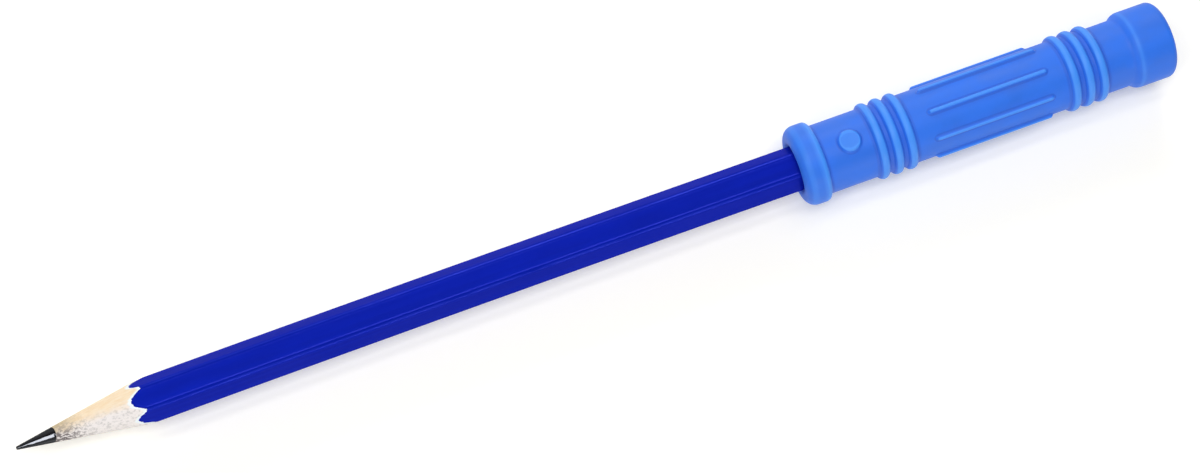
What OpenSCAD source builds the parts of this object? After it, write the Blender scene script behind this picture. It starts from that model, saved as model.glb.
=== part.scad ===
// Hexagonal wooden pencil with a chewable elastomer topper pushed over its blunt end.
// The pencil lies along X, with its point towards -X and the topper towards +X.
// The origin is on the surface that it lies on, at the middle of its length.
// Pieces are drawn on an axis of their own: Z runs from the topper's mouth to its end, and X is up.

/* [Topper] */
// Length of the topper from its mouth to its end face
topper_len = 65; // [54:0.5:90]
// Diameter of the plain barrel
barrel_d = 11.7; // [9.5:0.05:16]
// Turn of the topper on the pencil, from the boss pointing straight up
topper_turn = -4; // [-180:1:180]
// How far the pencil goes into the topper
pencil_in = 37.9; // [20:0.1:48]
// Gap left between the pencil's blunt end and the bottom of the socket
end_gap = 0.3; // [0.1:0.1:1]
// Gap between the socket and the pencil's corners, on the radius
socket_clearance = 0.05; // [0.03:0.01:0.2]
// Rounding of the socket's mouth
mouth_round = 0.9; // [0.2:0.1:1]

/* [Collar] */
// Length of the collar at the mouth
collar_len = 4.3; // [4:0.1:8]
// How far the collar stands out of the barrel
collar_h = 0.95; // [0.5:0.05:2]
// Rounding of the collar's front edge
collar_front_round = 1.9; // [0.5:0.1:2]
// Rounding of the collar's back edge
collar_back_round = 0.9; // [0.2:0.1:1.5]

/* [Beads and boss] */
// Plain stretch between the collar and the first bead
sleeve_len = 8.4; // [7:0.1:12]
// Number of beads in each of the two groups
bead_count = 3; // [1:1:4]
// Width of a bead at its foot
bead_w = 1.8; // [1.2:0.1:2.2]
// Gap between the feet of two beads
bead_gap = 0.65; // [0.3:0.05:1.5]
// How far a bead stands out of the barrel
bead_h = 0.65; // [0.3:0.05:0.8]
// Diameter of the round boss on the plain stretch
boss_d = 3.7; // [2:0.1:4.5]
// Place of the boss's centre, from the collar's back
boss_at = 4.65; // [3:0.05:6]
// How far the boss's face stands above the barrel's crown
boss_h = 0.45; // [0.2:0.05:0.8]
// Rounding of the boss's edge
boss_round = 0.3; // [0.1:0.05:0.4]

/* [Ribs] */
// Number of ribs around the grip
rib_count = 8; // [4:1:12]
// Plain stretch between a group of beads and the ribs
rib_gap = 2.8; // [1:0.1:5]
// Width of a rib at its foot
rib_w = 1.25; // [0.8:0.05:1.6]
// How far a rib stands out of the barrel
rib_h = 0.6; // [0.2:0.05:0.7]

/* [End cap] */
// Length of the cap at the closed end
cap_len = 7.4; // [4:0.1:12]
// How far the cap stands out of the barrel
cap_h = 0.65; // [0.3:0.05:0.9]
// Rounding of the cap's front edge
cap_front_round = 1.5; // [0.3:0.1:2]
// Rounding of the cap's end edge
cap_end_round = 1.0; // [0.3:0.1:1.5]
// Length of the neck between the last bead and the cap
neck_len = 4.6; // [3:0.1:8]
// How far the neck is cut in below the barrel
neck_inset = 0.15; // [0:0.05:0.5]

/* [Pencil] */
// Length of the pencil from its point to its blunt end
pencil_len = 170; // [90:1:210]
// Width of the lacquered pencil across its flats
hex_af = 6.8; // [5.5:0.1:8.5]
// Rounding of the pencil's six corners
hex_round = 1.05; // [0.6:0.05:2.3]
// Thickness of the lacquer
lacquer_t = 0.1; // [0.08:0.01:0.2]
// Diameter of the lead
lead_d = 2.6; // [1.8:0.1:3.2]
// Full angle of the sharpened point
point_angle = 18; // [14:1:30]
// Diameter of the blunt tip of the lead
tip_d = 0.5; // [0.2:0.1:1]

/* [Hidden] */
$fn = 64;
cut = 1; // how far a cutting tool runs past what it cuts

barrel_r = barrel_d / 2;
collar_r = barrel_r + collar_h;
cap_r = barrel_r + cap_h;
neck_r = barrel_r - neck_inset;

// Places along the axis, from the mouth
front_beads_at = collar_len + sleeve_len;
bead_pitch = bead_w + bead_gap;
beads_len = bead_count * bead_pitch - bead_gap;
grip_at = front_beads_at + beads_len;
cap_at = topper_len - cap_len;
neck_at = cap_at - neck_len;
rear_beads_at = neck_at - beads_len;
last_bead_at = neck_at - bead_w / 2;
rib_at = grip_at + rib_gap;
rib_len = rear_beads_at - rib_gap - rib_at;
point_at = pencil_in - pencil_len;

// Beads and ribs are round bars sunk into the barrel: this radius gives a bar its foot and its height
function bar_r(foot, height) = (pow(foot / 2, 2) + pow(height, 2)) / (2 * height);
bead_bar_r = bar_r(bead_w, bead_h);
rib_bar_r = bar_r(rib_w, rib_h);

// The pencil's corner circles, shared by the lacquer and the wood under it
corner_reach = (hex_af / 2 - hex_round) / cos(30);
corner_r = corner_reach + hex_round;
socket_r = corner_r + socket_clearance;
socket_len = pencil_in + end_gap;
mouth_edge = min(mouth_round, collar_r - collar_front_round - socket_r);
// The boss starts at the middle of the wall round the socket
boss_foot_r = (barrel_r + socket_r) / 2;

// The cone of the sharpener, up to where it clears the corners
sharp_r = corner_r + cut;
sharp_len = (sharp_r - tip_d / 2) / tan(point_angle / 2);

// The whole object lies on its widest ring
axis_height = max(collar_r, cap_r);
mouth_x = -(point_at + topper_len) / 2;

topper_blue = "#3b7ff0";
lacquer_blue = "#1420a8";
bare_wood = "#eccfa4";
graphite = "#3a3c42";

// Puts a piece drawn on the axis in its place
module on_axis() {
    translate([mouth_x, 0, axis_height]) rotate([0, 90, 0]) rotate(180) children();
}

// Half outline of a disc between two places on the axis, with both of its edges rounded
module disc_outline(radius, from, to, from_round, to_round) {
    translate([0, from]) square([radius - from_round, to - from]);
    translate([0, from + from_round]) square([radius, to - from - from_round - to_round]);
    translate([0, to - to_round]) square([radius - to_round, to_round]);
    translate([radius - from_round, from + from_round]) circle(from_round);
    translate([radius - to_round, to - to_round]) circle(to_round);
}

// Half outline of a group of beads
module beads_outline(from) {
    for (k = [0:bead_count - 1])
        translate([barrel_r + bead_h - bead_bar_r, from + bead_w / 2 + k * bead_pitch]) circle(bead_bar_r);
}

module topper_outline() {
    disc_outline(collar_r, 0, collar_len, collar_front_round, collar_back_round);
    square([barrel_r, last_bead_at]);
    square([neck_r, cap_at + cap_front_round]);
    beads_outline(front_beads_at);
    beads_outline(rear_beads_at);
    disc_outline(cap_r, cap_at, topper_len, cap_front_round, cap_end_round);
}

// A rib along the grip, with ball ends
module rib() {
    run = rib_len - 2 * rib_bar_r;
    translate([barrel_r + rib_h - rib_bar_r, 0, rib_at + rib_bar_r]) {
        cylinder(r = rib_bar_r, h = run);
        for (end = [0, run]) translate([0, 0, end]) sphere(rib_bar_r);
    }
}

// A flat-faced disc on the plain stretch, with its foot in the barrel's wall
module boss() {
    height = barrel_r + boss_h - boss_foot_r;
    translate([boss_foot_r, 0, collar_len + boss_at]) rotate([0, 90, 0]) rotate_extrude() {
        square([boss_d / 2, height - boss_round]);
        square([boss_d / 2 - boss_round, height]);
        translate([boss_d / 2 - boss_round, height - boss_round]) circle(boss_round);
    }
}

// The blind socket, with a rounded mouth
module socket() {
    translate([0, 0, -cut]) cylinder(r = socket_r, h = socket_len + cut);
    rotate_extrude() difference() {
        translate([0, -cut]) square([socket_r + mouth_edge, mouth_edge + cut]);
        translate([socket_r + mouth_edge, mouth_edge]) circle(mouth_edge);
    }
}

// Section of the pencil, drawn in from its lacquered outside, with a flat facing up
module hexagon(inset) {
    bend = hex_round - inset;
    corners = [for (k = [0:5]) 60 * k + 30];
    for (a = corners) rotate(a) translate([corner_reach, 0]) circle(bend);
    polygon([
        for (a = corners, side = [-30, 30])
            corner_reach * [cos(a), sin(a)] + bend * [cos(a + side), sin(a + side)]
    ]);
}

// The space that the sharpener leaves: a cone with a blunt tip, and the whole width behind it
module sharpened() {
    translate([0, 0, point_at]) rotate_extrude()
        polygon([
            [0, 0],
            [tip_d / 2, 0],
            [sharp_r, sharp_len],
            [sharp_r, pencil_len],
            [0, pencil_len]
        ]);
}

module stick(inset) {
    translate([0, 0, point_at]) linear_extrude(pencil_len) hexagon(inset);
}

module lead_bar(overrun = 0) {
    translate([0, 0, point_at - overrun]) cylinder(d = lead_d, h = pencil_len + 2 * overrun);
}

// One of the two grooved slats that are glued round the lead: side is 1 for the upper and -1 for the lower
module slat(side) {
    half = corner_r + cut;
    difference() {
        intersection() {
            stick(lacquer_t);
            sharpened();
            translate([side > 0 ? 0 : -half, -half, point_at]) cube([half, 2 * half, pencil_len]);
        }
        lead_bar(cut);
    }
}

module chew_topper() {
    color(topper_blue) on_axis() rotate(topper_turn) difference() {
        union() {
            rotate_extrude() topper_outline();
            for (k = [0:rib_count - 1]) rotate(360 * k / rib_count) rib();
            boss();
        }
        socket();
    }
}

module lacquer_coat() {
    color(lacquer_blue) on_axis() intersection() {
        difference() {
            stick(0);
            translate([0, 0, point_at - cut]) linear_extrude(pencil_len + 2 * cut) hexagon(lacquer_t);
        }
        sharpened();
    }
}

module wood_slat_upper() { color(bare_wood) on_axis() slat(1); }

module wood_slat_lower() { color(bare_wood) on_axis() slat(-1); }

module lead_core() {
    color(graphite) on_axis() intersection() {
        lead_bar();
        sharpened();
    }
}

chew_topper();
lacquer_coat();
wood_slat_upper();
wood_slat_lower();
lead_core();
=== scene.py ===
"""A sharpened hexagonal pencil with a chewable elastomer topper pushed over its blunt end."""

import math

import bmesh
import bpy
from mathutils import Matrix, Vector, noise


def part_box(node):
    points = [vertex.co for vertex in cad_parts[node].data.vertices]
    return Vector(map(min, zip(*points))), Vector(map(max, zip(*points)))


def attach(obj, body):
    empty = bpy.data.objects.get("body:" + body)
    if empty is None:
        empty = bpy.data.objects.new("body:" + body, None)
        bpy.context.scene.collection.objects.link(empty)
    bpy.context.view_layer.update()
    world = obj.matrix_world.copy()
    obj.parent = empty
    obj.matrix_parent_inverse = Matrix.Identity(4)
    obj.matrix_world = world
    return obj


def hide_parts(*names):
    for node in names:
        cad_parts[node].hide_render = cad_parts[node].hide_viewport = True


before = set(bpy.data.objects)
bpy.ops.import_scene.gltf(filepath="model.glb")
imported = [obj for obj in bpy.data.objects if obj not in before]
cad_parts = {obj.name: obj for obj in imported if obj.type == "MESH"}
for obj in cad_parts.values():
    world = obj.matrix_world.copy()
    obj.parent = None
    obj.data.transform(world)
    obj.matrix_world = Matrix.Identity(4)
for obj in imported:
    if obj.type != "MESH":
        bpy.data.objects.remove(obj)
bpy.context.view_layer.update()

bl_info = {
    "name": "Pencil with a chewable topper",
    "version": (1, 0, 0),
    "blender": (4, 5, 0),
    "location": "3D View > Sidebar > Pencil topper",
    "description": "Models a ribbed elastomer topper and the sharpened pencil that it is pushed on",
    "category": "Add Mesh",
}

MM = 0.001
MOUTH_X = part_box("chew_topper")[0].x
TOPPER_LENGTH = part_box("chew_topper")[1].x - MOUTH_X
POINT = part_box("lead_core")[0].x - MOUTH_X
BLUNT_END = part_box("lead_core")[1].x - MOUTH_X
AXIS_Z = (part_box("lacquer_coat")[0].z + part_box("lacquer_coat")[1].z) / 2
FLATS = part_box("lacquer_coat")[1].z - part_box("lacquer_coat")[0].z
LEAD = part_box("lead_core")[1].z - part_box("lead_core")[0].z

# Half the angle that one of the pencil's six flats takes up.
HALF_FLAT = math.pi / 6

# Mesh density: columns round a turned piece, rows along the shaft and the cones.
TOPPER_COLUMNS = 240
LACQUER_COLUMNS = 288
SLAT_COLUMNS = 132
LEAD_COLUMNS = 180
SHAFT_ROWS = 28
WOOD_CONE_ROWS = 130
LEAD_CONE_ROWS = 60

# The patch of skin that is gathered into the boss: columns to each side, and reach along the axis.
BOSS_SPAN = 18
BOSS_REACH = 3.0 * MM

# Plain skin kept beside a bead or an edge, so that shading does not spread from it.
PLAIN = 0.6 * MM

# Points less deep under the barrel than this belong to the topper's outer skin.
SKIN = 0.2 * MM

# Points nearer than this count as one place.
TOUCH = 0.001 * MM


def length(name, description, size):
    """A length property with its default in metres."""
    return bpy.props.FloatProperty(
        name=name, description=description, default=size, unit="LENGTH", precision=5
    )


def angle(name, description, degrees):
    """An angle property with its default in degrees."""
    return bpy.props.FloatProperty(
        name=name, description=description, default=math.radians(degrees), subtype="ANGLE"
    )


def colour(name, description, rgb):
    """A colour property, in linear values."""
    return bpy.props.FloatVectorProperty(
        name=name, description=description, default=rgb, size=3, min=0, max=1, subtype="COLOR"
    )


def amount(name, description, value):
    """A plain number property."""
    return bpy.props.FloatProperty(name=name, description=description, default=value)


class TopperSizes(bpy.types.PropertyGroup):
    """Sizes of the elastomer topper, with places measured from its mouth."""

    length: length("Length", "From the mouth to the end face", TOPPER_LENGTH)
    barrel: length("Barrel", "Radius of the plain barrel", 5.85 * MM)
    socket: length("Socket", "Radius of the blind socket", 3.8136 * MM)
    socket_depth: length("Socket depth", "From the mouth to the socket's bottom", 38.2 * MM)
    collar: length("Collar", "Radius of the collar at the mouth", 6.8 * MM)
    collar_length: length("Collar length", "From the mouth to the collar's back", 4.3 * MM)
    bead_height: length("Bead height", "How far a bead stands out of the barrel", 0.66 * MM)
    bead_width: length("Bead width", "Width of a bead at its foot", 1.8 * MM)
    bead_pitch: length("Bead pitch", "From one bead to the next in a group", 2.45 * MM)
    bead_count: bpy.props.IntProperty(name="Beads", description="Beads in a group", default=3)
    front_beads: length("Front beads", "Place of the first bead in front of the grip", 13.6 * MM)
    rear_beads: length("Rear beads", "Place of the first bead behind the grip", 47.2 * MM)
    boss: length("Boss", "Radius of the round boss", 1.85 * MM)
    boss_place: length("Boss place", "Place of the boss's centre", 8.95 * MM)
    boss_height: length("Boss height", "How far its face stands above the barrel's crown", 0.45 * MM)
    rib_count: bpy.props.IntProperty(name="Ribs", description="Ribs round the grip", default=8)
    rib_start: length("Rib start", "Place of the ribs' front ends", 22.35 * MM)
    rib_end: length("Rib end", "Place of the ribs' rear ends", 43.5 * MM)
    rib_height: length("Rib height", "How far a rib stands out of the barrel", 0.57 * MM)
    rib_foot: length("Rib foot", "From a rib's middle line to its foot", 0.55 * MM)
    neck: length("Neck", "Radius of the neck in front of the cap", 5.7 * MM)
    cap: length("Cap", "Radius of the end cap", 6.5 * MM)
    cap_length: length("Cap length", "From the middle of the cap's shoulder to the end face", 6.87 * MM)
    turn: angle("Turn", "Turn of the boss on the pencil, from straight up towards +Y", 4)


class PencilSizes(bpy.types.PropertyGroup):
    """Sizes of the pencil."""

    flats: length("Across flats", "Width of the lacquered pencil across its flats", FLATS)
    corner: length("Corner rounding", "Rounding of the six corners", 1.05 * MM)
    lacquer: length("Lacquer", "Thickness of the lacquer", 0.1 * MM)
    lead: length("Lead", "Diameter of the lead", 0.95 * LEAD)
    lead_offset: length("Lead offset", "How far the lead is above the middle of the casing", 0.16 * MM)
    tip: length("Tip", "Diameter of the blunt tip", 0.55 * MM)
    point: angle("Point", "Full angle of the sharpened point", 18.5)
    bow: length("Bow", "How far the warped wood takes the point sideways", 0.32 * MM)
    chips: length("Chips", "How far the lacquer is chipped back from the cut", 0.9 * MM)
    torn: length("Torn fibre", "Depth of the torn fibre on the cut wood", 0.07 * MM)


class Finishes(bpy.types.PropertyGroup):
    """Colours of the four finishes."""

    elastomer: colour("Elastomer", "Body colour of the topper", (0.004, 0.147, 0.79))
    # Paler crests: partly wear, partly a painted highlight along beads, ribs, edges and the boss's face.
    elastomer_crest_wear_and_highlight: colour("Crests", "Paler colour along beads, ribs and edges", (0.05, 0.31, 0.95))
    # Painted shade in the creases.
    elastomer_crease_shade: colour("Creases", "Darker colour in the creases", (0.003, 0.075, 0.52))
    lacquer: colour("Lacquer", "Colour of the lacquer", (0.003, 0.0135, 0.38))
    # Paler corners: partly wear, partly a painted highlight line along the lacquer's corners.
    lacquer_worn_highlight: colour("Worn lacquer", "Paler colour where the corners are worn", (0.02, 0.04, 0.55))
    wood_warm: colour("Warm wood", "Wood that the sharpener cut cleanly", (0.91, 0.76, 0.565))
    wood_pale: colour("Pale wood", "Wood with its fibres torn up", (0.85, 0.8, 0.78))
    wood_rubbed: colour("Rubbed wood", "Clean wood, darkened beside the lead", (0.43, 0.35, 0.2))
    primer: colour("Primer", "Line of primer along the lacquer's edge", (0.84, 0.92, 0.96))
    graphite: colour("Graphite", "Colour of the lead", (0.052, 0.054, 0.06))
    graphite_dust: colour("Dust", "Thin graphite on the wood", (0.3, 0.27, 0.26))
    graphite_smudge: colour("Smudge", "Thick graphite on the wood", (0.12, 0.1, 0.1))


class StageSettings(bpy.types.PropertyGroup):
    """Camera, light and floor."""

    lens: amount("Lens", "Focal length in millimetres, on a 36 mm sensor", 58.5)
    distance: length("Distance", "From the camera to what it looks at", 315.7 * MM)
    azimuth: angle("Azimuth", "Direction of the camera round the object", -26.245)
    elevation: angle("Elevation", "Height of the camera above the horizon", 80.527)
    roll: angle("Roll", "Turn of the camera about its line of sight", 6.312)
    floor: amount("Floor", "Brightness added to the floor as the camera sees it", 0.2)


def rounded(corners, step=math.radians(11)):
    """Points of an outline through (along, radius, rounding) corners."""
    points = []
    for k, (x, radius, bend) in enumerate(corners):
        here = Vector((x, radius))
        if not bend:
            points.append(here)
            continue
        before = (Vector(corners[k - 1][:2]) - here).normalized()
        after = (Vector(corners[k + 1][:2]) - here).normalized()
        half = before.angle(after) / 2
        centre = here + (before + after).normalized() * (bend / math.sin(half))
        arm = here + before * (bend / math.tan(half)) - centre
        swing = math.copysign(math.pi - 2 * half, after.x * before.y - after.y * before.x)
        steps = max(2, math.ceil(abs(swing) / step))
        points += [centre + Matrix.Rotation(swing * i / steps, 2) @ arm for i in range(steps + 1)]
    return points


def spread(start, end, count):
    """Evenly spaced values from start to end."""
    return [start + (end - start) * i / count for i in range(count + 1)]


def smooth(value):
    """Eases from 0 to 1 as the value goes from 0 to 1."""
    value = min(max(value, 0), 1)
    return value * value * (3 - 2 * value)


def mix(a, b, share):
    """The number that lies the given share of the way from a to b."""
    return a + (b - a) * share


def lathe(outline, columns, start=0.0, sweep=math.tau, closed=False):
    """Spins an outline of (along, radius) points about X, from an angle measured from +Z towards +Y."""
    bm = bmesh.new()
    ring = [bm.verts.new((x, r * math.sin(start), r * math.cos(start))) for x, r in outline]
    edges = [bm.edges.new(pair) for pair in zip(ring, ring[1:])]
    if closed:
        edges.append(bm.edges.new((ring[-1], ring[0])))
    full = sweep == math.tau
    bmesh.ops.spin(
        bm, geom=ring + edges, cent=(0, 0, 0), axis=(1, 0, 0), angle=sweep, steps=columns, use_merge=full
    )
    bmesh.ops.remove_doubles(bm, verts=bm.verts[:], dist=TOUCH / 2)
    return bm


def polar(vert):
    """Place along the axis, radius and angle from +Z towards +Y of a vertex."""
    return vert.co.x, math.hypot(vert.co.y, vert.co.z), math.atan2(vert.co.y, vert.co.z)


def put(vert, x, radius, turn):
    """Moves a vertex to a place along the axis, a radius and an angle."""
    vert.co = (x, radius * math.sin(turn), radius * math.cos(turn))


def add_piece(name, bm, finish, slot, body, *nodes):
    """Makes a piece of a closed bmesh, in the place of the nodes that it stands for."""
    bmesh.ops.recalc_face_normals(bm, faces=bm.faces[:])
    bmesh.ops.translate(bm, verts=bm.verts[:], vec=(MOUTH_X, 0, AXIS_Z))
    if not all(edge.is_manifold for edge in bm.edges):
        raise RuntimeError(f"{name} is not closed")
    for face in bm.faces:
        face.smooth = True
    mesh = bpy.data.meshes.new(name)
    bm.to_mesh(mesh)
    bm.free()
    mesh.set_sharp_from_angle(angle=math.radians(38))
    mesh.materials.append(finish)
    piece = bpy.data.objects.new(name, mesh)
    bpy.context.scene.collection.objects.link(piece)
    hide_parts(*nodes)
    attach(piece, body)


def bead_corners(sizes, first, rear_foot):
    """Outline corners of a group of beads; rear_foot is the radius behind the last one."""
    half = sizes.bead_width / 2
    shoulder = 0.55 * half
    crest = sizes.barrel + sizes.bead_height
    foot_bend = 0.28 * MM
    crest_bend = 0.82 * MM
    corners = [(first - half - PLAIN, sizes.barrel, 0)]
    for k in range(sizes.bead_count):
        middle = first + k * sizes.bead_pitch
        foot = rear_foot if k == sizes.bead_count - 1 else sizes.barrel
        corners += [
            (middle - half, sizes.barrel, foot_bend),
            (middle - shoulder, crest, crest_bend),
            (middle + shoulder, crest, crest_bend),
            (middle + half, foot, foot_bend),
        ]
    corners.append((middle + half + PLAIN, rear_foot, 0))
    return corners


def topper_outline(sizes):
    """Half outline of the topper, from the socket's bottom out over the collar to the end face."""
    boss_rows = spread(sizes.boss_place - BOSS_REACH, sizes.boss_place + BOSS_REACH, 2 * BOSS_SPAN)
    end_run = 1.5 * MM
    end_rows = 20
    middle_rows = 16
    inset = 0.15 * MM
    rib_rows = spread(sizes.rib_start - inset, sizes.rib_start + end_run, end_rows)
    rib_rows += spread(sizes.rib_start + end_run, sizes.rib_end - end_run, middle_rows)[1:-1]
    rib_rows += spread(sizes.rib_end - end_run, sizes.rib_end + inset, end_rows)
    bottom_bend = 0.3 * MM
    mouth_bend = 0.9 * MM
    collar_bend = 1.9 * MM
    collar_crown = 2.6 * MM
    collar_slope = 0.3 * MM
    collar_back_bend = 0.9 * MM
    collar_foot_bend = 0.34 * MM
    shoulder = sizes.length - sizes.cap_length
    shoulder_half = 0.43 * MM
    neck_bend = 0.9 * MM
    shoulder_bend = 1.6 * MM
    cap_plain = 2.5 * PLAIN
    end_bend = 1.0 * MM
    return rounded(
        [
            (sizes.socket_depth, 0, 0),
            (sizes.socket_depth, sizes.socket, bottom_bend),
            (0, sizes.socket, mouth_bend),
            (0, sizes.collar, collar_bend),
            (collar_crown, sizes.collar, 0),
            (sizes.collar_length - collar_slope, sizes.collar, collar_back_bend),
            (sizes.collar_length, sizes.barrel, collar_foot_bend),
            (sizes.collar_length + PLAIN, sizes.barrel, 0),
            *[(x, sizes.barrel, 0) for x in boss_rows],
            *bead_corners(sizes, sizes.front_beads, sizes.barrel),
            *[(x, sizes.barrel, 0) for x in rib_rows],
            *bead_corners(sizes, sizes.rear_beads, sizes.neck),
            (shoulder - 2 * PLAIN, sizes.neck, 0),
            (shoulder - shoulder_half, sizes.neck, neck_bend),
            (shoulder + shoulder_half, sizes.cap, shoulder_bend),
            (shoulder + cap_plain, sizes.cap, 0),
            (sizes.length - cap_plain, sizes.cap, 0),
            (sizes.length, sizes.cap, end_bend),
            (sizes.length, 0, 0),
        ]
    )


def raise_ribs(bm, sizes):
    """Crowds the columns towards each rib, and lifts the ribs out of the barrel."""
    pitch = math.tau / sizes.rib_count
    middle = (sizes.rib_start + sizes.rib_end) / 2
    half_length = (sizes.rib_end - sizes.rib_start) / 2
    end_ramp = 0.9 * MM
    crowd = 0.35
    crest = 0.15
    bluntness = 2.6
    for vert in bm.verts:
        x, radius, turn = polar(vert)
        if abs(x - middle) > half_length + SKIN or radius < sizes.barrel - SKIN:
            continue
        rib = round(turn / pitch) * pitch
        share = (turn - rib) / (pitch / 2)
        offset = pitch / 2 * share * (crowd + (1 - crowd) * share * share)
        across = abs(offset) * sizes.barrel / sizes.rib_foot
        along = max(0, abs(x - middle) - half_length + end_ramp) / end_ramp
        reach = (across**bluntness + along**bluntness) ** (1 / bluntness)
        lift = sizes.rib_height * smooth((1 - reach) / (1 - crest))
        put(vert, x, radius + lift, rib + offset)


def raise_boss(bm, sizes):
    """Gathers the rows and columns over the boss into rings, and lifts its flat face."""
    span = BOSS_SPAN * math.tau / TOPPER_COLUMNS
    outer = 1.57 * sizes.boss
    edge = 0.48 * MM
    rim = sizes.boss - edge / 2
    dish = 0.06 * MM
    crowd = 1.8
    hold = 0.75
    centre = 1e-6
    for vert in bm.verts:
        x, radius, turn = polar(vert)
        across = turn / span
        along = (x - sizes.boss_place) / BOSS_REACH
        ring = max(abs(across), abs(along))
        if ring > 1 or radius < sizes.barrel - SKIN:
            continue
        if ring < centre:
            vert.co.z += sizes.boss_height - dish
            continue
        if abs(across) >= abs(along):
            lean = math.pi / 4 * along / across
            side = math.copysign(1, across)
            spoke = Vector((side * math.sin(lean), side * math.cos(lean)))
        else:
            lean = math.pi / 4 * across / along
            side = math.copysign(1, along)
            spoke = Vector((side * math.cos(lean), side * math.sin(lean)))
        if ring < 0.5:
            reach = sizes.boss * (1 - (1 - 2 * ring) ** crowd)
        else:
            reach = sizes.boss + (outer - sizes.boss) * (2 * ring - 1) ** crowd
        gather = 1 - smooth((ring - hold) / (1 - hold))
        place = mix(x, sizes.boss_place + reach * spoke.x, gather)
        lateral = mix(vert.co.y, reach * spoke.y, gather)
        barrel = math.sqrt(sizes.barrel**2 - lateral**2)
        lift = 1 - smooth((reach - sizes.boss) / edge + 0.5)
        face = sizes.barrel + sizes.boss_height - dish * (1 - smooth(reach / rim))
        vert.co = (place, lateral, mix(barrel, face, lift))


def mark_relief(bm, sizes):
    """Stores how sharply the skin bends at each point, per mm: above 0 on crests, below 0 in creases. The
    boss's face is given a crest value too, so that it is painted paler as a painted highlight.
    """
    bmesh.ops.recalc_face_normals(bm, faces=bm.faces[:])
    bm.normal_update()
    layer = bm.verts.layers.float.new("relief")
    for vert in bm.verts:
        bends = []
        for edge in vert.link_edges:
            other = edge.other_vert(vert)
            run = other.co - vert.co
            bends.append((other.normal - vert.normal).dot(run) / run.length_squared)
        vert[layer] = (max(bends) + min(bends)) * MM
    for _ in range(2):
        around = [[edge.other_vert(vert)[layer] for edge in vert.link_edges] for vert in bm.verts]
        for vert, bends in zip(bm.verts, around):
            vert[layer] = (vert[layer] + sum(bends) / len(bends)) / 2
    foot = sizes.barrel + 0.28 * MM
    rise = 0.36 * MM
    end_edge = sizes.length - 1.0 * MM
    boss_face_highlight = 0.75
    boss_fade = 0.4 * MM
    for vert in bm.verts:
        if vert[layer] > 0:
            vert[layer] *= smooth((polar(vert)[1] - foot) / rise)
            vert[layer] *= smooth((end_edge - vert.co.x) / MM)
        # Painted highlight: the boss's flat face is marked as a crest, so the finish paints it paler.
        if vert.co.z > sizes.barrel + sizes.boss_height / 2:
            face = sizes.boss - math.hypot(vert.co.x - sizes.boss_place, vert.co.y)
            vert[layer] = max(vert[layer], boss_face_highlight * smooth(face / boss_fade))


class MakeTopper(bpy.types.Operator):
    """Turn the topper's outline, raise its ribs and its boss, and place it on the pencil"""

    bl_idname = "pencil_topper.topper"
    bl_label = "Topper"

    def execute(self, context):
        sizes = context.scene.topper_sizes
        bm = lathe(topper_outline(sizes), TOPPER_COLUMNS)
        raise_ribs(bm, sizes)
        raise_boss(bm, sizes)
        mark_relief(bm, sizes)
        turned = Matrix.Rotation(-sizes.turn, 3, "X")
        bmesh.ops.rotate(bm, verts=bm.verts[:], cent=(0, 0, 0), matrix=turned)
        finish = elastomer_finish(context.scene.finishes)
        add_piece("topper_moulding", bm, finish, "elastomer", "topper", "chew_topper")
        return {"FINISHED"}


def from_flat(turn):
    """Angle between a turn and the middle of the nearest flat."""
    return abs((turn + HALF_FLAT) % (2 * HALF_FLAT) - HALF_FLAT)


def hexagon(turn, sizes, inset=0.0):
    """Radius of the pencil's rounded hexagon at an angle from its upper flat, drawn in by the inset."""
    apothem = sizes.flats / 2 - inset
    bend = sizes.corner - inset
    reach = (apothem - bend) / math.cos(HALF_FLAT)
    off = from_flat(turn)
    if math.tan(off) <= reach / 2 / apothem:
        return apothem / math.cos(off)
    lean = HALF_FLAT - off
    return reach * math.cos(lean) + math.sqrt(bend**2 - (reach * math.sin(lean)) ** 2)


def lead_radius(turn, sizes):
    """Distance from the pencil's axis to the lead's surface, as the lead is a little off the middle."""
    aside = sizes.lead_offset * math.sin(turn)
    return sizes.lead_offset * math.cos(turn) + math.sqrt((sizes.lead / 2) ** 2 - aside**2)


def warp(bm, sizes):
    """Bows a piece of the pencil in front of the topper: the belly to one side, the point to the other."""
    belly = 1.61
    for vert in bm.verts:
        out = max(vert.co.x / POINT, 0)
        vert.co.y += sizes.bow * out * (belly - (belly + 1) * out)


def cut_place(radius, sizes):
    """Place along the axis where the sharpener's cone has a radius."""
    return POINT + (radius - sizes.tip / 2) / math.tan(sizes.point / 2)


def cut_radius(x, sizes):
    """Radius of the sharpener's cone at a place along the axis."""
    return sizes.tip / 2 + (x - POINT) * math.tan(sizes.point / 2)


def chip(turn, sizes):
    """How far the lacquer's edge is chipped back at an angle: flakes with steep sides, and a fine fray."""
    around = Vector((math.cos(turn), math.sin(turn), 0))
    flake = noise.noise(around * 5.2 + Vector((0, 0, 3.7)))
    notch = noise.noise(around * 13 + Vector((0, 0, 8.1)))
    fray = noise.noise(around * 30 + Vector((0, 0, 1.3)))
    tongue = 1 - smooth(from_flat(turn) / math.radians(24))
    depth = 0.85 * tongue + 0.15 * fray
    depth += 0.3 * smooth((flake + 0.12) / 0.3)
    depth += 0.4 * smooth((notch - 0.05) / 0.25)
    return sizes.chips * (1 + 0.4 * depth)


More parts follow.
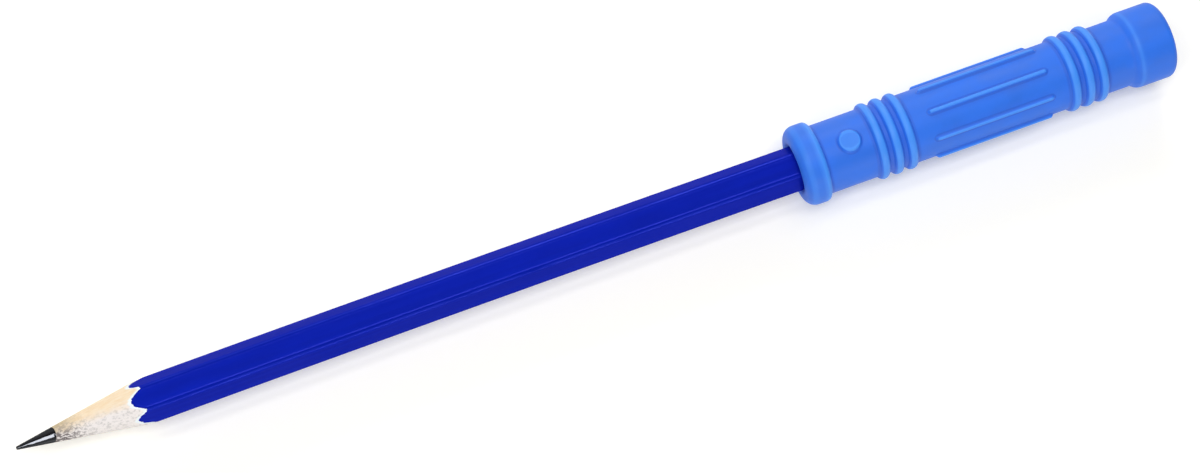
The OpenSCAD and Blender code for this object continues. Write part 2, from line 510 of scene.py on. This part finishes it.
class MakeLacquer(bpy.types.Operator):
    """Model the thin lacquer shell, pressed to the hexagon and chipped along the sharpener's cut"""

    bl_idname = "pencil_topper.lacquer"
    bl_label = "Lacquer"

    def execute(self, context):
        sizes = context.scene.pencil_sizes
        corner = hexagon(HALF_FLAT, sizes)
        front = cut_place(sizes.flats / 2, sizes)
        rows = [front + step * MM for step in (0, 0.06, 0.6)]
        rows += spread(front + 4 * MM, BLUNT_END, SHAFT_ROWS)
        inside = corner - sizes.lacquer
        outline = [(x, corner) for x in rows] + [(x, inside) for x in reversed(rows)]
        bm = lathe(outline, LACQUER_COLUMNS, closed=True)
        # Marks the corners to be painted paler: partly wear, partly a painted highlight line along each
        # corner.
        worn_highlight = bm.verts.layers.float.new("worn_highlight")
        worn_highlight_from = math.radians(26.5)
        worn_highlight_over = math.radians(3)
        for vert in bm.verts:
            x, radius, turn = polar(vert)
            inset = 0 if radius > corner - sizes.lacquer / 2 else sizes.lacquer
            wall = hexagon(turn, sizes, inset)
            edge = cut_place(wall, sizes) + chip(turn, sizes)
            put(vert, mix(edge, BLUNT_END, (x - front) / (BLUNT_END - front)), wall, turn)
            vert[worn_highlight] = smooth((from_flat(turn) - worn_highlight_from) / worn_highlight_over)
        warp(bm, sizes)
        finish = lacquer_finish(context.scene.finishes)
        add_piece("lacquer_shell", bm, finish, "lacquer", "pencil", "lacquer_coat")
        return {"FINISHED"}


def torn_fibre(x, turn, sizes):
    """Depth of the torn-up fibre on the cone: fine and shallow on the +Y side, pitted on the other."""
    rough = 1 - smooth((math.sin(turn) + 0.1) / 0.45)
    radius = cut_radius(x, sizes)
    spot = Vector((x, radius * math.sin(turn), radius * math.cos(turn))) / MM
    fibre = noise.noise(Vector((spot.x * 0.35, spot.y * 3.2, spot.z * 3.2)))
    pit = noise.noise(Vector((spot.x * 2.0, spot.y * 3.6, spot.z * 3.6)))
    return sizes.torn * (0.18 * abs(fibre) + rough * (0.4 * abs(fibre) + 0.9 * max(pit - 0.05, 0)))


def slat_mesh(sizes, side):
    """One slat of the casing, spun half a turn: side is 1 above the glue line and -1 below it.

    Each point also stores how many mm in front of the lacquer's chipped edge it lies.
    """
    groove = sizes.lead / 2
    crown = hexagon(HALF_FLAT, sizes, sizes.lacquer)
    lead_edge = cut_place(groove, sizes)
    cut_edge = cut_place(crown, sizes)
    lead_fade = 0.04
    edge_fade = 0.02
    outline = [(x, cut_radius(x, sizes)) for x in spread(lead_edge, cut_edge, WOOD_CONE_ROWS)]
    outline += [(x, crown) for x in spread(cut_edge, BLUNT_END, SHAFT_ROWS)[1:]]
    outline += [(x, groove) for x in spread(BLUNT_END, lead_edge, SHAFT_ROWS)[:-1]]
    bm = lathe(outline, SLAT_COLUMNS, start=side * math.pi / 2, sweep=math.pi, closed=True)
    for vert in bm.verts:
        x, radius, turn = polar(vert)
        bore = lead_radius(turn, sizes)
        mouth = cut_place(bore, sizes)
        if radius < groove + TOUCH:
            put(vert, mix(mouth, BLUNT_END, (x - lead_edge) / (BLUNT_END - lead_edge)), bore, turn)
            continue
        wall = hexagon(turn, sizes, sizes.lacquer)
        edge = cut_place(wall, sizes)
        if x > cut_edge - TOUCH:
            put(vert, mix(edge, BLUNT_END, (x - cut_edge) / (BLUNT_END - cut_edge)), wall, turn)
            continue
        share = (x - lead_edge) / (cut_edge - lead_edge)
        place = mix(mouth, edge, share)
        fade = smooth(share / lead_fade) * smooth((1 - share) / edge_fade)
        put(vert, place, cut_radius(place, sizes) - fade * torn_fibre(place, turn, sizes), turn)
    bare = bm.verts.layers.float.new("bare")
    for vert in bm.verts:
        x, _, turn = polar(vert)
        edge = cut_place(hexagon(turn, sizes, sizes.lacquer), sizes) + chip(turn, sizes)
        vert[bare] = (edge - x) / MM
    bmesh.ops.holes_fill(bm, edges=[edge for edge in bm.edges if edge.is_boundary], sides=0)
    warp(bm, sizes)
    return bm


class MakeCasing(bpy.types.Operator):
    """Model the two grooved cedar slats that are glued round the lead"""

    bl_idname = "pencil_topper.casing"
    bl_label = "Casing"

    def execute(self, context):
        sizes = context.scene.pencil_sizes
        finish = cedar_finish(context.scene.finishes)
        add_piece("upper_slat", slat_mesh(sizes, 1), finish, "cedar", "pencil", "wood_slat_upper")
        add_piece("lower_slat", slat_mesh(sizes, -1), finish, "cedar", "pencil", "wood_slat_lower")
        return {"FINISHED"}


class MakeLead(bpy.types.Operator):
    """Turn the graphite lead, with a blunt tip and the facet and faint scrapes that the sharpener leaves"""

    bl_idname = "pencil_topper.lead"
    bl_label = "Lead"

    def execute(self, context):
        sizes = context.scene.pencil_sizes
        groove = sizes.lead / 2
        lead_edge = cut_place(groove, sizes)
        tip_run = 0.5 * MM
        tip_bend = 0.14 * MM
        cone = spread(POINT + tip_run, lead_edge, LEAD_CONE_ROWS)
        outline = rounded(
            [
                (POINT, 0, 0),
                (POINT, sizes.tip / 2, tip_bend),
                *[(x, cut_radius(x, sizes), 0) for x in cone],
                *[(x, groove, 0) for x in spread(lead_edge, BLUNT_END, SHAFT_ROWS)[1:]],
                (BLUNT_END, 0, 0),
            ]
        )
        bm = lathe(outline, LEAD_COLUMNS)
        facet = math.radians(-13)
        facet_half = math.radians(13)
        facet_start = POINT + 1.6 * MM
        wood_fade = 0.4 * MM
        for vert in bm.verts:
            x, radius, turn = polar(vert)
            if radius < TOUCH:
                continue
            bore = lead_radius(turn, sizes)
            mouth = cut_place(bore, sizes)
            if x >= lead_edge - TOUCH:
                put(vert, mix(mouth, BLUNT_END, (x - lead_edge) / (BLUNT_END - lead_edge)), bore, turn)
                continue
            around = Vector((math.cos(turn) * 2.2, math.sin(turn) * 2.2, x / MM * 0.25))
            scrape = abs(noise.noise(around)) * 0.03 + abs(noise.noise(around * 4)) * 0.012
            aside = abs(turn - facet)
            if aside < facet_half:
                flat = 1 - math.cos(facet_half) / math.cos(aside)
                scrape = mix(scrape, flat, smooth((x - facet_start) / MM))
            fade = smooth((lead_edge - x) / wood_fade)
            place = mix(POINT, mouth, (x - POINT) / (lead_edge - POINT))
            reach = radius + cut_radius(place, sizes) - cut_radius(x, sizes)
            put(vert, place, reach * (1 - scrape * fade), turn)
        warp(bm, sizes)
        finish = graphite_finish(context.scene.finishes)
        add_piece("graphite_lead", bm, finish, "graphite", "pencil", "lead_core")
        return {"FINISHED"}


class Value:
    """An output of a finish's nodes. Arithmetic on it adds Math nodes."""

    def __init__(self, nodes, socket):
        self.nodes = nodes
        self.socket = socket

    def math(self, operation, first, second):
        return self.nodes.node("ShaderNodeMath", {"operation": operation}, {0: first, 1: second})

    def __add__(self, other):
        return self.math("ADD", self, other)

    def __radd__(self, other):
        return self.math("ADD", other, self)

    def __sub__(self, other):
        return self.math("SUBTRACT", self, other)

    def __rsub__(self, other):
        return self.math("SUBTRACT", other, self)

    def __mul__(self, other):
        return self.math("MULTIPLY", self, other)

    def __rmul__(self, other):
        return self.math("MULTIPLY", other, self)


class Nodes:
    """Adds nodes to the tree of a material or of the world."""

    def __init__(self, owner):
        owner.use_nodes = True
        self.tree = owner.node_tree
        self.tree.nodes.clear()

    def node(self, kind, settings=None, sockets=None, output=0):
        """Adds a node, sets its settings first, then its sockets' values or links, and returns an output."""
        made = self.tree.nodes.new(kind)
        for name, value in (settings or {}).items():
            setattr(made, name, value)
        for name, value in (sockets or {}).items():
            if isinstance(value, Value):
                self.tree.links.new(value.socket, made.inputs[name])
            else:
                made.inputs[name].default_value = value
        return Value(self, made.outputs[output] if made.outputs else None)

    def object_place(self):
        """Object coordinates, in metres."""
        return self.node("ShaderNodeTexCoord", output="Object")

    def noise(self, per_mm, detail=2.0, roughness=0.5, shift=(0, 0, 0)):
        """Noise from 0 to 1, with so many features to the millimetre along X, Y and Z."""
        scale = [count / MM for count in per_mm]
        place = self.node(
            "ShaderNodeMapping", sockets={"Vector": self.object_place(), "Scale": scale, "Location": shift}
        )
        return self.node(
            "ShaderNodeTexNoise",
            sockets={"Vector": place, "Scale": 1.0, "Detail": detail, "Roughness": roughness},
        )

    def across(self):
        """Place along Y, in millimetres."""
        return self.node("ShaderNodeSeparateXYZ", sockets={0: self.object_place()}, output="Y") * (1 / MM)

    def along(self):
        """Place along X from the pencil's point, in millimetres."""
        x = self.node("ShaderNodeSeparateXYZ", sockets={0: self.object_place()}, output="X")
        return (x - (MOUTH_X + POINT)) * (1 / MM)

    def attribute(self, name):
        """A number stored at each point of the mesh."""
        return self.node("ShaderNodeAttribute", {"attribute_name": name}, output="Fac")

    def ease(self, value, low, high):
        """Goes smoothly from 0 to 1 as the value goes from low to high."""
        return self.node(
            "ShaderNodeMapRange",
            {"interpolation_type": "SMOOTHSTEP"},
            {"Value": value, "From Min": low, "From Max": high},
        )

    def mix(self, share, first, second):
        """Colour that goes from the first to the second with the share."""
        first, second = (c if isinstance(c, Value) else (*c, 1) for c in (first, second))
        return self.node(
            "ShaderNodeMix", {"data_type": "RGBA"}, {0: share, 6: first, 7: second}, output=2
        )

    def bump(self, height, depth, strength=1.0):
        """Normal bumped by a height from 0 to 1 over a depth in metres."""
        return self.node(
            "ShaderNodeBump", sockets={"Strength": strength, "Distance": depth, "Height": height}
        )

    def output(self, shader, kind="ShaderNodeOutputMaterial"):
        """Ends the tree with its output."""
        self.node(kind, sockets={"Surface": shader})


def make_finish(name, build):
    """A material whose Principled shader gets the sockets that build returns."""
    material = bpy.data.materials.new(name)
    nodes = Nodes(material)
    nodes.output(nodes.node("ShaderNodeBsdfPrincipled", sockets=build(nodes)))
    return material


def elastomer_finish(colours):
    """Matt blue elastomer with a fine moulded tooth and a soft mottle; its crests are painted paler, as wear
    and as a painted highlight, and its creases carry painted shade.
    """

    def build(nodes):
        mottle = nodes.noise((0.22, 0.3, 0.3), detail=3)
        cloud = nodes.ease(mottle, 0.3, 0.7)
        tooth = nodes.noise((7, 7, 7), detail=2, roughness=0.6)
        relief = nodes.attribute("relief")
        # The crests are painted paler: partly wear, partly a painted highlight.
        crest = nodes.ease(relief, 0.25, 1.2)
        # Painted shade: the creases are darkened where shade falls between beads, ribs and edges.
        crease_shade = nodes.ease(0 - relief, 0.3, 2.1)
        body = tuple(colours.elastomer)
        deep = tuple(c * 0.9 for c in body)
        base = nodes.mix(cloud, deep, body)
        base = nodes.mix(crest * 0.66, base, tuple(colours.elastomer_crest_wear_and_highlight))
        base = nodes.mix(crease_shade * 0.48, base, tuple(colours.elastomer_crease_shade))
        return {
            "Base Color": base,
            "Roughness": 0.5 + 0.1 * cloud + 0.06 * tooth - 0.06 * crest,
            "Normal": nodes.bump(tooth, 0.012 * MM, 0.6),
            "Specular IOR Level": 0.6,
            "Sheen Weight": 0.06,
            "Sheen Roughness": 0.5,
            "Sheen Tint": (0.7, 0.82, 1, 1),
        }

    return make_finish("elastomer_matt", build)


def lacquer_finish(colours):
    """Deep blue gloss lacquer with drawn streaks, a slight peel and handling marks."""

    def build(nodes):
        streak = nodes.noise((0.02, 1.1, 1.1), detail=3)
        smudge = nodes.noise((0.1, 0.35, 0.35), detail=3)
        peel = nodes.noise((0.5, 1.6, 1.6), detail=1)
        scuff = nodes.noise((0.12, 2.5, 2.5), detail=3)
        colour = tuple(colours.lacquer)
        base = nodes.mix(nodes.ease(streak, 0.3, 0.7), tuple(c * 0.88 for c in colour), colour)
        # Paler corners: wear along the corners, and a painted highlight line along them.
        corner = nodes.attribute("worn_highlight") * nodes.ease(scuff, 0.3, 0.6)
        base = nodes.mix(corner * 0.5, base, tuple(colours.lacquer_worn_highlight))
        smeared = nodes.ease(smudge, 0.35, 0.75)
        return {
            "Base Color": base,
            "Roughness": 0.11 + 0.06 * smeared,
            "Normal": nodes.bump(peel, 0.01 * MM, 0.2),
            "Metallic": 0.13,
            "Specular IOR Level": 0.0,
            "Specular Tint": (0.2, 0.3, 0.9, 1),
            "Coat Weight": 0.11 - 0.03 * smeared,
            "Coat Roughness": 0.1,
        }

    return make_finish("lacquer_gloss", build)


def cedar_finish(colours):
    """Bare cut wood: warm and smooth on one side, pale and torn on the other.

    It is smudged next to the lead, and has a line of primer along the lacquer.
    """

    def build(nodes):
        fibre = nodes.noise((0.16, 3.4, 3.4), detail=4, roughness=0.6)
        pore = nodes.noise((0.9, 5.5, 5.5), detail=2)
        speck = nodes.noise((1.6, 2.4, 2.4), detail=3, roughness=0.6, shift=(3, 1, 2))
        blotch = nodes.noise((1.5, 2.4, 2.4), detail=3, roughness=0.7, shift=(5, 2, 1))
        patch = nodes.noise((0.5, 0.9, 0.9), detail=2)
        along = nodes.along()
        torn = 1 - nodes.ease(nodes.across() + 1.3 * (patch - 0.5), -1.3, 0.9)
        warm = tuple(colours.wood_warm)
        dark_fibre = tuple(c * f for c, f in zip(warm, (0.96, 0.88, 0.76)))
        base = nodes.mix(nodes.ease(fibre, 0.3, 0.7), dark_fibre, warm)
        pale = tuple(colours.wood_pale)
        shaded = tuple(c * 0.77 for c in pale)
        mottled = nodes.mix(nodes.ease(speck, 0.36, 0.54), shaded, pale)
        base = nodes.mix(torn, base, mottled)
        near = 1 - nodes.ease(along, 7.5, 14.5)
        rubbed = (1 - nodes.ease(along, 6.2, 12.0)) * (1 - torn) * (0.4 + 0.7 * patch)
        base = nodes.mix(rubbed, base, tuple(colours.wood_rubbed))
        dust = (1 - nodes.ease(along, 7.0, 11.5)) * (0.03 + 0.25 * torn * speck)
        base = nodes.mix(dust, base, tuple(colours.graphite_dust))
        smudge = nodes.ease(blotch + 0.07 * near, 0.53, 0.59) * near
        base = nodes.mix(smudge * (0.15 + 0.8 * torn), base, tuple(colours.graphite_smudge))
        bare = nodes.attribute("bare")
        primer = nodes.ease(bare, -20, -10) * (1 - nodes.ease(bare, 0.35, 0.8))
        base = nodes.mix(0.9 * primer, base, tuple(colours.primer))
        return {
            "Base Color": base,
            "Roughness": 0.55 + 0.25 * torn + 0.1 * fibre,
            "Normal": nodes.bump(0.6 * fibre + pore * (0.25 + 0.75 * torn), 0.03 * MM, 0.6),
            "Specular IOR Level": 0.3,
        }

    return make_finish("cedar_cut", build)


def graphite_finish(colours):
    """Dark polished graphite with fine marks of the sharpener's blade."""

    def build(nodes):
        ring = nodes.noise((5.5, 0.8, 0.8), detail=3)
        grain = nodes.noise((4, 9, 9), detail=2)
        dark = tuple(colours.graphite)
        base = nodes.mix(nodes.ease(grain, 0.35, 0.75), dark, tuple(1.25 * c for c in dark))
        return {
            "Base Color": base,
            "Roughness": 0.06 + 0.05 * ring,
            "Normal": nodes.bump(0.6 * ring + 0.4 * grain, 0.004 * MM, 0.4),
            "Metallic": 0.95,
            "Specular Tint": (0.25, 0.26, 0.28, 1),
        }

    return make_finish("graphite_polished", build)


def make_floor(brightness):
    """A pale floor that keeps its shadow and reads as white to the camera."""
    half_width = 4
    paper_white = (0.9, 0.885, 0.83, 1)
    bm = bmesh.new()
    bmesh.ops.create_grid(bm, x_segments=1, y_segments=1, size=half_width)
    mesh = bpy.data.meshes.new("floor")
    bm.to_mesh(mesh)
    bm.free()
    floor = bpy.data.objects.new("floor", mesh)
    bpy.context.scene.collection.objects.link(floor)
    material = bpy.data.materials.new("floor_pale")
    nodes = Nodes(material)
    seen = 0.0
    for kind in ("Camera", "Glossy", "Transmission"):
        ray = nodes.node("ShaderNodeLightPath", output=f"Is {kind} Ray")
        seen = nodes.node("ShaderNodeMath", {"operation": "MAXIMUM"}, {0: seen, 1: ray})
    paper = nodes.node("ShaderNodeBsdfDiffuse", sockets={"Color": paper_white})
    glow = nodes.node("ShaderNodeEmission", sockets={"Strength": brightness})
    lit = nodes.node("ShaderNodeAddShader", sockets={0: paper, 1: glow})
    nodes.output(nodes.node("ShaderNodeMixShader", sockets={0: seen, 1: paper, 2: lit}))
    mesh.materials.append(material)


def make_world():
    """A tent of soft light: bright round the horizon and dim overhead."""
    world = bpy.data.worlds.new("light_tent")
    bpy.context.scene.world = world
    nodes = Nodes(world)
    way = nodes.node("ShaderNodeTexCoord", output="Generated")
    up = nodes.node("ShaderNodeSeparateXYZ", sockets={0: way}, output="Z")
    horizon = (0.54, 0.54, 0.54)
    overhead = (0.07, 0.07, 0.07)
    light = nodes.mix(nodes.ease(up, 0.3, 0.95), horizon, overhead)
    tent = nodes.node("ShaderNodeBackground", sockets={"Color": light})
    nodes.output(tent, "ShaderNodeOutputWorld")


def add_softbox(name, direction, distance, size, level):
    """A rectangular lamp that looks at the object; level 1 alone lights a facing white surface to white."""
    lamp = bpy.data.lights.new(name, "AREA")
    lamp.shape = "RECTANGLE"
    lamp.size, lamp.size_y = size
    lamp.energy = level * (math.pi * distance) ** 2
    box = bpy.data.objects.new(name, lamp)
    away = Vector(direction).normalized()
    box.location = Vector((0, 0, AXIS_Z)) + away * distance
    box.rotation_euler = away.to_track_quat("Z", "Y").to_euler()
    bpy.context.scene.collection.objects.link(box)


class MakeStage(bpy.types.Operator):
    """Set up the pale floor, the soft light and the camera"""

    bl_idname = "pencil_topper.stage"
    bl_label = "Stage"

    def execute(self, context):
        scene = context.scene
        settings = scene.stage_settings
        scene.view_settings.view_transform = "Standard"
        make_floor(settings.floor)
        make_world()
        add_softbox("near_softbox", (0, -0.004, 1), 0.43, (0.46, 0.1), 0.45)
        add_softbox("far_softbox", (0, 0.29, 1), 0.448, (0.6, 0.06), 0.19)
        add_softbox("back_softbox", (0.2, 0.84, 0.5), 0.6, (0.4, 0.14), 0.34)
        add_softbox("left_softbox", (-0.63, -0.22, 0.745), 0.66, (0.16, 0.08), 0.13)
        add_softbox("front_softbox", (0, -0.94, 0.34), 0.6, (0.6, 0.06), 0.29)
        lens = bpy.data.cameras.new("camera")
        lens.lens = settings.lens
        lens.sensor_width = 36
        lens.clip_start = 0.01
        lens.clip_end = 20
        camera = bpy.data.objects.new("camera", lens)
        flat = math.cos(settings.elevation)
        back = Vector(
            (
                math.sin(settings.azimuth) * flat,
                -math.cos(settings.azimuth) * flat,
                math.sin(settings.elevation),
            )
        )
        turn = (-back).to_track_quat("-Z", "Y").to_matrix() @ Matrix.Rotation(settings.roll, 3, "Z")
        aim = Vector((-0.073 * MM, 0.25 * MM, AXIS_Z))
        camera.location = aim + back * settings.distance
        camera.rotation_euler = turn.to_euler()
        scene.collection.objects.link(camera)
        scene.camera = camera
        return {"FINISHED"}


OPERATORS = (MakeTopper, MakeLacquer, MakeCasing, MakeLead, MakeStage)
GROUPS = {
    "topper_sizes": TopperSizes,
    "pencil_sizes": PencilSizes,
    "finishes": Finishes,
    "stage_settings": StageSettings,
}


class PencilTopperPanel(bpy.types.Panel):
    """The operators that make the pencil and its topper, with their sizes and colours."""

    bl_idname = "VIEW3D_PT_pencil_topper"
    bl_label = "Pencil topper"
    bl_space_type = "VIEW_3D"
    bl_region_type = "UI"
    bl_category = "Pencil topper"

    def draw(self, context):
        for operator in OPERATORS:
            self.layout.operator(operator.bl_idname)
        for group in GROUPS:
            settings = getattr(context.scene, group)
            column = self.layout.column()
            for name in settings.__annotations__:
                column.prop(settings, name)


def register():
    for made in (*GROUPS.values(), *OPERATORS, PencilTopperPanel):
        bpy.utils.register_class(made)
    for name, group in GROUPS.items():
        setattr(bpy.types.Scene, name, bpy.props.PointerProperty(type=group))


def unregister():
    for name in GROUPS:
        delattr(bpy.types.Scene, name)
    for made in (PencilTopperPanel, *OPERATORS, *GROUPS.values()):
        bpy.utils.unregister_class(made)


def main():
    register()
    bpy.ops.pencil_topper.topper()
    bpy.ops.pencil_topper.lacquer()
    bpy.ops.pencil_topper.casing()
    bpy.ops.pencil_topper.lead()
    bpy.ops.pencil_topper.stage()


if __name__ == "__main__":
    main()
